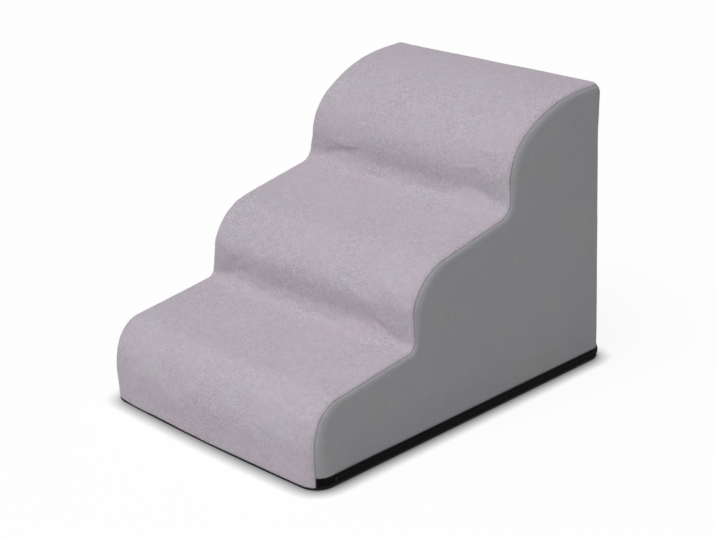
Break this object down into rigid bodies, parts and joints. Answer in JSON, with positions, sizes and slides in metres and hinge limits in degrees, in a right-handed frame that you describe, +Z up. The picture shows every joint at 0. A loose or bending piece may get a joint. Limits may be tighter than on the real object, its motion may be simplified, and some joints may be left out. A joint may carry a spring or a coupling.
{
  "type": "pet stairs",
  "caption": "Foam pet stairs with rounded steps, in a sewn plush and smooth fabric cover that unzips along its foot.",
  "frame": {"origin": "middle of the foot, on the floor: the underside of the middle grip dot", "axes": "+Z up, +Y from the first riser to the back, +X to the right of someone who faces the steps"},
  "size_m": [0.4356, 0.6, 0.4195],
  "materials": {
    "foam": "open-cell upholstery foam, matt",
    "plush": "short-pile plush, soft nap",
    "side_fabric": "smooth brushed fabric, matt",
    "grip_fabric": "black woven fabric with rubber dots",
    "zip_tape": "black woven polyester tape",
    "zip_coil": "black nylon coil",
    "zip_metal": "black enamel on zinc"
  },
  "bodies": {
    "stairs": {"foam_core": "foam", "tread_panel": "plush", "left_side_panel": "side_fabric", "right_side_panel": "side_fabric", "back_panel": "side_fabric", "base_panel": "grip_fabric", "zip_upper_tape": "zip_tape", "zip_lower_tape": "zip_tape", "zip_upper_coil": "zip_coil", "zip_lower_coil": "zip_coil", "zip_top_stops": "zip_metal", "zip_bottom_stop": "zip_metal"},
    "slider": {"zip_slider": "zip_metal"},
    "pull": {"zip_pull": "zip_metal"}
  },
  "joints": [
    {"name": "zip_slide", "type": "slide", "parent": "stairs", "child": "slider", "axis": [0, 1, 0], "range_m": [0, 0.51], "deforming": ["zip_upper_coil", "zip_lower_coil"]},
    {"name": "pull_hinge", "type": "hinge", "parent": "slider", "child": "pull", "pos_m": [-0.2179, -0.25405, 0.01], "axis": [0, 0, 1], "range_deg": [0, 180]}
  ]
}
